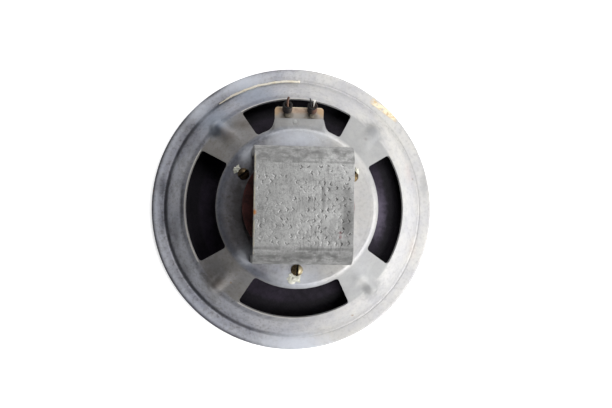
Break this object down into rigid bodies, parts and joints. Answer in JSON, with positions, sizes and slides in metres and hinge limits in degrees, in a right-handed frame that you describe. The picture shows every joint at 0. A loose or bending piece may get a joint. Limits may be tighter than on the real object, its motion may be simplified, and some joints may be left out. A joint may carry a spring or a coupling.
{
  "type": "loudspeaker driver",
  "caption": "Round paper-cone woofer lying on its front gasket: pressed basket with windows, strap yoke over a slug magnet, terminal tab, sprung cone with voice coil.",
  "frame": {"origin": "centre of the front gasket's front face, on the axis of the cone", "axes": "+Z along the cone's axis to the magnet and rear, +Y to the terminals, +X to the right seen from the rear with the terminals up"},
  "size_m": [0.202, 0.202, 0.076],
  "materials": {
    "basket_steel": "dull zinc plated pressed sheet with white bloom",
    "gasket_board": "aged grey-brown board",
    "edge_paper": "black doped paper",
    "plated_steel": "dull plated",
    "spider_cloth": "varnished open weave",
    "bronzed_steel": "dirty yellow-passivated screw",
    "yoke_steel": "matte plated steel, mottled and hammered",
    "magnet_alloy": "ground dark cast alloy",
    "pole_steel": "turned steel",
    "red_primer": "flat red-brown primer",
    "brass": "tarnished",
    "phenolic": "tan resin board with flux stains",
    "rivet_alloy": "dull",
    "tinned_brass": "solder-tinned",
    "sleeve_rubber": "aged black sleeving",
    "copper": "tarnished copper",
    "wire_cover": "matte black",
    "tinsel_lead": "braided lead, dark",
    "cone_paper": "black pulp paper",
    "cap_felt": "black soft paper",
    "former_paper": "brown kraft paper"
  },
  "bodies": {
    "chassis": {"basket": "basket_steel", "front_gasket": "gasket_board", "surround": "edge_paper", "spider_ring": "plated_steel", "spider": "spider_cloth", "clamp_screws": "bronzed_steel", "yoke": "yoke_steel", "magnet": "magnet_alloy", "pole_piece": "pole_steel", "top_plate": "red_primer", "gap_ring": "brass", "plate_studs": "pole_steel", "terminal_board": "phenolic", "board_rivet": "rivet_alloy", "lug_left": "tinned_brass", "lug_right": "tinned_brass", "lug_rivets": "brass", "sleeve_left": "sleeve_rubber", "sleeve_right": "sleeve_rubber", "copper_stub": "copper", "tinned_stub": "tinned_brass", "black_stub": "wire_cover", "lead_left": "tinsel_lead", "lead_right": "tinsel_lead"},
    "cone": {"cone": "cone_paper", "dust_cap": "cap_felt", "former": "former_paper", "voice_coil": "copper", "cone_eyelets": "brass"}
  },
  "joints": [
    {"name": "cone_travel", "type": "slide", "parent": "chassis", "child": "cone", "axis": [0, 0, 1], "range_m": [-0.0025, 0.0025], "stiffness_N_per_m": 1500, "deforming": ["surround", "spider", "lead_left", "lead_right"]}
  ]
}
